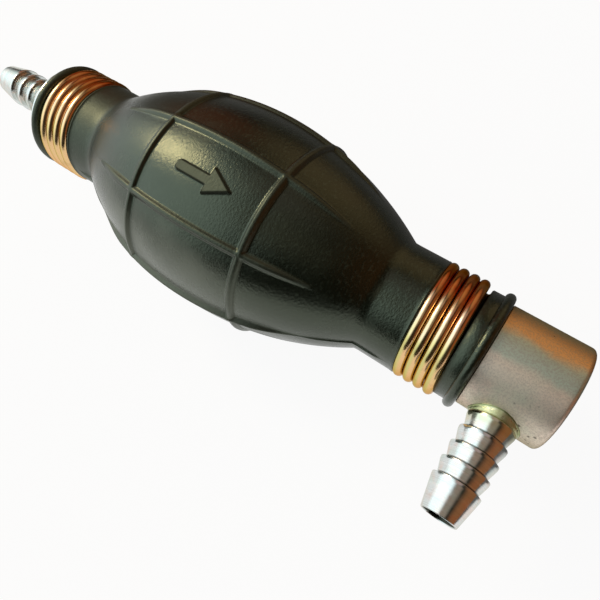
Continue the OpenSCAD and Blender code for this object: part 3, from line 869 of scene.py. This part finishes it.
def body_material(settings):
    """Satin passivated steel: passivate tints in bands along the round side, laid as painted reflections, and
    heat marks and pits by the braze.
    """
    made, shader, point = material("passivated outlet body", 0.88, (0.30, 0.24, 0.13))
    x, y, _ = parts(point)
    marks = use("tool marks", point, Along=x, Pitch=0.2)
    tint = use("passivate tint", point, Size=5.0, Base=settings.body,
               First=(0.84, 0.66, 0.56), Second=(0.68, 0.72, 0.58), Amount=0.7)
    spread = clouds(point, 6.0, 4.0, 0.55)
    # Painted reflections: bands by height across the round side, pale low down, then grey-green, warm and
    # olive towards +Y, where the floor and the warm wall would be reflected.
    painted_band_place = y + (spread - 0.5) * 4.0
    round_side = remap(off_axis(point, PUMP_AXIS), 8.5, 11.6)
    shade = tint["Color"]
    bands = ((-9.0, -5.0, 0.6, (0.92, 0.80, 0.69)), (-4.2, -2.0, 0.85, (0.54, 0.68, 0.58)),
             (0.6, 3.4, 0.85, settings.warm_tint_and_reflection), (6.0, 9.2, 0.85, (0.58, 0.56, 0.36)))
    for low, high, share, band in bands:
        shade = mixed(remap(painted_band_place, low, high, 0.0, share) * round_side, shade, band)
    near = fall(off_axis(point, OUTLET_AXIS), 7.0, 13.0) * fall(y, -8.0, -2.0)
    pits = use("specks", point, Spacing=1.4, Share=0.5, Radius=0.26)["Mask"]
    few = use("specks", point, Spacing=2.2, Share=0.3, Radius=0.09)["Mask"]
    spots = calc("MAXIMUM", pits * near, few)
    grain = clouds(point, 0.38, 3.0, 0.8)
    worn = use("rubbed edges", point, From=0.53, Full=0.62, Breakup=0.6)["Mask"]
    shade = mixed(near * remap(spread, 0.35, 0.7, 0.1, 0.55), shade, (0.72, 0.72, 0.56))
    shade = mixed(remap(grain, 0.44, 0.58, 0.0, 0.4), shade, darker(settings.body, 0.45))
    shade = mixed(worn * 0.5, shade, (0.72, 0.70, 0.65))
    shade = mixed(spots * 0.8, shade, (0.10, 0.09, 0.07))
    surface(shader, shade, remap(grain, 0.3, 0.7, 0.36, 0.46) + near * 0.08,
            marks["Height"] * 0.5 + grain - spots * 2.0, 0.018 * MM)
    return made


def braze_material(settings):
    """Pitted braze under the passivate, with painted shade at its foot where it meets the body."""
    made, shader, point = material("braze bead", 0.95, WHITE)
    tint = use("passivate tint", point, Size=2.2, Base=settings.braze,
               First=(0.76, 0.74, 0.52), Second=(0.36, 0.43, 0.20), Amount=0.8)
    pits = use("specks", point, Spacing=1.25, Share=0.5, Radius=0.22)["Mask"]
    grain = clouds(point, 0.4, 5.0, 0.7)
    # Painted shade: a dark ring at the bead's outer foot, in the crease against the body.
    foot = remap(off_axis(point, OUTLET_AXIS), 5.45, 5.62, 0.0, 0.8)
    shade = mixed(pits, mixed(foot, tint["Color"], (0.20, 0.23, 0.09)), (0.05, 0.05, 0.03))
    surface(shader, shade, remap(grain, 0.3, 0.7, 0.26, 0.42) + pits * 0.3, grain - pits * 1.5, 0.07 * MM)
    return made


def ball_material(settings):
    made, shader, point = material("valve ball", 1.0, WHITE)
    scuffs = remap(clouds(point, 0.6, 5.0, 0.7), 0.55, 0.75)
    worn = use("rubbed edges", point, From=0.5, Full=0.7, Breakup=0.9)["Mask"]
    shade = mixed((scuffs + worn) * 0.25, settings.steel, (0.55, 0.53, 0.48))
    surface(shader, shade, remap(scuffs, 0, 1, 0.05, 0.22), scuffs, 0.002 * MM)
    return made


def spring_material(settings):
    made, shader, point = material("valve spring wire", 1.0, WHITE)
    tint = use("passivate tint", point, Size=3.0, Base=darker(settings.steel, 0.85),
               First=(0.66, 0.60, 0.50), Second=(0.50, 0.54, 0.56), Amount=0.6)
    grain = clouds(point, 0.2, 4.0, 0.7)
    surface(shader, tint["Color"], remap(grain, 0.3, 0.7, 0.18, 0.34), grain, 0.004 * MM)
    return made


def dress(piece, made, node):
    """Gives a piece its material and slot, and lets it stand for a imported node."""
    piece.data.materials.clear()
    piece.data.materials.append(made)
    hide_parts(node)


# Operators

class PieceOperator:
    """What the pump's operators have in common."""
    bl_options = {"REGISTER", "UNDO"}


class PUMP_OT_bulb(PieceOperator, bpy.types.Operator):
    """Make the moulded rubber bulb between the outlet end and the inlet end"""
    bl_idname = "pump.bulb"
    bl_label = "Rubber Bulb"

    def execute(self, context):
        settings = context.scene.pump_bulb
        piece = mesh_from_rows("rubber_bulb", bulb_rows(settings), ring=True, sharp=62.0)
        mark_relief(piece, settings.belly_radius / MM)
        dress(piece, rubber_material(settings), "bulb")
        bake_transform(piece)
        return {"FINISHED"}


class PUMP_OT_clamps(PieceOperator, bpy.types.Operator):
    """Wind the two wire clamps on the bulb's necks"""
    bl_idname = "pump.clamps"
    bl_label = "Wire Clamps"

    def execute(self, context):
        settings = context.scene.pump_clamps
        wire_r = settings.wire / MM / 2
        for node, body, inset in (("inlet_clamp", "inlet_end", 0.79), ("outlet_clamp", "pump", 1.14)):
            start = node_span(node, 0)[0] + inset
            rows = wound_wire(start, COIL_R, COIL_PITCH, COIL_TURNS, COIL_START, wire_r, loose=0.09)
            piece = mesh_from_rows(node + "_wire", rows, sharp=50.0)
            dress(piece, wire_material(settings, "passivated " + node, start), node)
            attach(piece, body)
        return {"FINISHED"}


class PUMP_OT_inlet_fitting(PieceOperator, bpy.types.Operator):
    """Turn the inlet fitting: barbed tail, flange and ridged spigot in one piece"""
    bl_idname = "pump.inlet_fitting"
    bl_label = "Inlet Fitting"

    def execute(self, context):
        settings = context.scene.pump_metal
        outline = dense(eased(inlet_fitting_outline(), settings.edge / MM))
        piece = mesh_from_rows("inlet_fitting_turned", turned_along_x(outline), ring=True, sharp=45.0)
        dress(piece, zinc_material("bright zinc inlet", settings, 0), "inlet_fitting")
        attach(piece, "inlet_end")
        return {"FINISHED"}


class PUMP_OT_outlet_body(PieceOperator, bpy.types.Operator):
    """Turn the outlet body, with its valve chamber and the hole for the outlet tail"""
    bl_idname = "pump.outlet_body"
    bl_label = "Outlet Body"

    def execute(self, context):
        settings = context.scene.pump_metal
        outside, corner, inside = outlet_body_outline()
        outline = dense(np.vstack([eased(outside, settings.edge / MM)[2:], corner, inside]))
        piece = mesh_from_rows("outlet_body_turned", turned_along_x(outline, 160), ring=True)
        drill(piece, OUTLET_HOLE)
        dress(piece, body_material(settings), "outlet_body")
        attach(piece, "pump")
        return {"FINISHED"}


class PUMP_OT_outlet_tail(PieceOperator, bpy.types.Operator):
    """Turn the barbed outlet tail that stands square on the outlet body"""
    bl_idname = "pump.outlet_tail"
    bl_label = "Outlet Tail"

    def execute(self, context):
        settings = context.scene.pump_metal
        outline = dense(eased(outlet_tail_outline(), settings.barb_edge / MM))
        piece = mesh_from_rows("outlet_tail_turned", turned_along_outlet(outline), ring=True, sharp=45.0)
        made = zinc_material("bright zinc outlet", settings, 1, tinted_and_shaded=True)
        dress(piece, made, "outlet_tail")
        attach(piece, "pump")
        return {"FINISHED"}


class PUMP_OT_braze(PieceOperator, bpy.types.Operator):
    """Run the uneven bead of braze round the outlet tail's foot"""
    bl_idname = "pump.braze"
    bl_label = "Braze Bead"

    def execute(self, context):
        settings = context.scene.pump_metal
        piece = mesh_from_rows("braze_bead", braze_rows(), ring=True, sharp=70.0)
        dress(piece, braze_material(settings), "outlet_braze")
        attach(piece, "pump")
        return {"FINISHED"}


class PUMP_OT_valves(PieceOperator, bpy.types.Operator):
    """Wind the valve springs, and finish the balls, the retainer and the seat insert"""
    bl_idname = "pump.valves"
    bl_label = "Valves"

    def execute(self, context):
        settings = context.scene.pump_metal
        made = spring_material(settings)
        for end, body in (("inlet", "inlet_end"), ("outlet", "pump")):
            node, joint = end + "_spring", end + "_ball_lift"
            low, high = node_span(node, 0)
            first = low + SPRING_WIRE_R + SPRING_GAP
            pitch = (high - low - 2 * (first - low)) / SPRING_TURNS
            rows = wound_wire(first, SPRING_R, pitch, SPRING_TURNS, 0.0, SPRING_WIRE_R, per_turn=40, sides=12)
            piece = mesh_from_rows(node + "_wire", rows, sharp=50.0)
            dress(piece, made, node)
            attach(piece, body)
            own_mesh(piece)
        ball = ball_material(settings)
        turned = zinc_material("bright zinc inserts", settings, 0)
        for node, finish in (("inlet_ball", ball), ("outlet_ball", ball),
                             ("inlet_retainer", turned), ("outlet_seat", turned)):
            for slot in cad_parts[node].material_slots:
                slot.material = finish
        return {"FINISHED"}


class PUMP_OT_stage(PieceOperator, bpy.types.Operator):
    """Lay the pale floor, and set the window light, the room and the camera"""
    bl_idname = "pump.stage"
    bl_label = "Floor, Light and Camera"

    def execute(self, context):
        settings = context.scene.pump_stage
        add_floor(settings)
        add_window(settings)
        set_room(settings)
        add_camera()
        return {"FINISHED"}


# Stage

IMAGE_WIDTH = 600
FOCAL_LENGTH = 549.32
SENSOR_MM = 36.0
PUMP_MIDDLE = Vector((0.095, 0, 0))
PALE_SIDE = (203, 32, 24, 58)
PALE = (1.36, 1.54, 1.58)
WALLS = {(10, 10, 24, 56): (0.27, 0.11, 0.045), (85, 33, 8, 36): (0.54, 0.36, 0.21),
         (138, 22, 5, 24): (0.34, 0.10, 0.05), (95, 78, 9, 21): (0.42, 0.34, 0.32),
         (287, 68, 6, 24): (0.30, 0.25, 0.20)}


def rays(tree, *kinds):
    """1 for the kinds of ray that are named, and 0 for others."""
    path = put(tree, "LightPath").outputs
    seen = Field(path["Is %s Ray" % kinds[0]])
    for kind in kinds[1:]:
        seen = calc("MAXIMUM", seen, Field(path["Is %s Ray" % kind]))
    return seen


def add_floor(settings):
    """A pale floor, which shows white to the camera and still takes the pump's shadow. To reflections it
    turns dark beyond a line on its +Y side, a painted shade.
    """
    reach, z = settings.reach, FLOOR_Z * MM
    mesh = bpy.data.meshes.new("floor")
    corners = [(-reach, -reach, z), (reach, -reach, z), (reach, reach, z), (-reach, reach, z)]
    mesh.from_pydata(corners, [], [(0, 1, 2, 3)])
    made = bpy.data.materials.new("pale floor")
    tree, out = emptied(made, "Material")
    paper = source(tree, "BsdfDiffuse", 0, {"Color": (0.86, 0.86, 0.85)})
    # Painted shade: beyond this line on the +Y side, reflections see the floor dark.
    side = dot(source(tree, "TexCoord", "Object"), (0.3, 0.954, 0))
    strength = calc("MAXIMUM", rays(tree, "Camera"), remap(side, 0.036, 0.060, 1.0, 0.10))
    white = field("Emission", {"Color": WHITE, "Strength": strength})
    share = rays(tree, "Camera", "Glossy", "Transmission") * 0.93
    field("MixShader", {0: share, 1: paper, 2: white}).to(out)
    mesh.materials.append(made)
    placed("floor", mesh)


def heading(bearing, height):
    """Unit direction by its bearing from +X towards +Y and its height over the floor, in degrees."""
    turn, rise = math.radians(bearing), math.radians(height)
    return Vector((math.cos(turn) * math.cos(rise), math.sin(turn) * math.cos(rise), math.sin(rise)))


def facing(right, up, back, where):
    """A matrix for a lamp or camera that stands at where and looks the other way from back."""
    return Matrix.Translation(where) @ Matrix((right, up, back)).transposed().to_4x4()


def add_window(settings):
    """A large soft window towards -X, above the inlet end."""
    distance, width, tall = 0.75, 0.21, 0.22
    back = heading(177, 41)
    right = Vector((0, 0, 1)).cross(back).normalized()
    light = bpy.data.lights.new("window", "AREA")
    light.shape, light.size, light.size_y = "RECTANGLE", width, tall
    light.energy = settings.window * math.pi * width * tall
    light.color = (1.0, 0.76, 0.45)
    where = PUMP_MIDDLE + distance * back
    placed("window", light).matrix_world = facing(right, back.cross(right), back, where)


def glow(way, bearing, height, inner, outer):
    """1 within inner degrees of a heading, falling smoothly to 0 at outer degrees."""
    near = dot(way, heading(bearing, height))
    return remap(near, math.cos(math.radians(outer)), math.cos(math.radians(inner)))


def set_room(settings):
    """A dim room with a pale side towards -X, warm walls and two lamps overhead, white to the camera."""
    world = bpy.data.worlds.new("room")
    bpy.context.scene.world = world
    tree, out = emptied(world, "World")
    way = source(tree, "TexCoord", "Generated")
    pale = glow(way, *PALE_SIDE)
    room = mixed(pale, (0.032, 0.03, 0.022), PALE)
    for place, tint in WALLS.items():
        room = mixed(glow(way, *place), room, tint)
    white = source(tree, "Background", 0, {"Color": WHITE, "Strength": 1.0})
    lit = field("Background", {"Color": room, "Strength": settings.room})
    low = remap(parts(way)[2], 0.05, 0.3, 0.6, 0.0) * pale
    mirrored = rays(tree, "Glossy", "Transmission") * low
    seen = calc("MAXIMUM", rays(tree, "Camera"), mirrored)
    field("MixShader", {0: seen, 1: lit, 2: white}).to(out)
    bpy.context.scene.view_settings.view_transform = "Standard"


def add_camera():
    data = bpy.data.cameras.new("camera")
    data.sensor_fit, data.sensor_width = "HORIZONTAL", SENSOR_MM
    data.lens = FOCAL_LENGTH / IMAGE_WIDTH * SENSOR_MM
    data.shift_x = -3.24 / IMAGE_WIDTH
    data.clip_start, data.clip_end = 0.01, 20.0
    camera = placed("camera", data)
    right, down = Vector((0.81427, 0.57509, -0.07900)), Vector((0.50019, -0.76417, -0.40725))
    look = Vector((-0.29457, 0.29210, -0.90989))
    camera.matrix_world = facing(right, -down, -look, Vector((0.15103, -0.04782, 0.11464)))
    bpy.context.scene.camera = camera


# Panel and running

PIECES = (PUMP_OT_bulb, PUMP_OT_clamps, PUMP_OT_inlet_fitting, PUMP_OT_outlet_body, PUMP_OT_outlet_tail,
          PUMP_OT_braze, PUMP_OT_valves, PUMP_OT_stage)
SETTINGS = {"pump_bulb": PumpBulbSettings, "pump_clamps": PumpClampSettings, "pump_metal": PumpMetalSettings,
            "pump_stage": PumpStageSettings}


class PUMP_PT_panel(bpy.types.Panel):
    """Lists the pump's settings and pieces"""
    bl_idname = "PUMP_PT_panel"
    bl_label = "Siphon Bulb Pump"
    bl_space_type = "VIEW_3D"
    bl_region_type = "UI"
    bl_category = "Pump"

    def draw(self, context):
        for name, group in SETTINGS.items():
            box = self.layout.box()
            for setting in group.__annotations__:
                box.prop(getattr(context.scene, name), setting)
        for piece in PIECES:
            self.layout.operator(piece.bl_idname)


CLASSES = (*SETTINGS.values(), *PIECES, PUMP_PT_panel)


def register():
    for made in CLASSES:
        bpy.utils.register_class(made)
    for name, group in SETTINGS.items():
        setattr(bpy.types.Scene, name, PointerProperty(type=group))


def unregister():
    for name in SETTINGS:
        delattr(bpy.types.Scene, name)
    for made in reversed(CLASSES):
        bpy.utils.unregister_class(made)


def main():
    register()
    bpy.ops.pump.bulb()
    bpy.ops.pump.clamps()
    bpy.ops.pump.inlet_fitting()
    bpy.ops.pump.outlet_body()
    bpy.ops.pump.outlet_tail()
    bpy.ops.pump.braze()
    bpy.ops.pump.valves()
    bpy.ops.pump.stage()


if __name__ == "__main__":
    main()
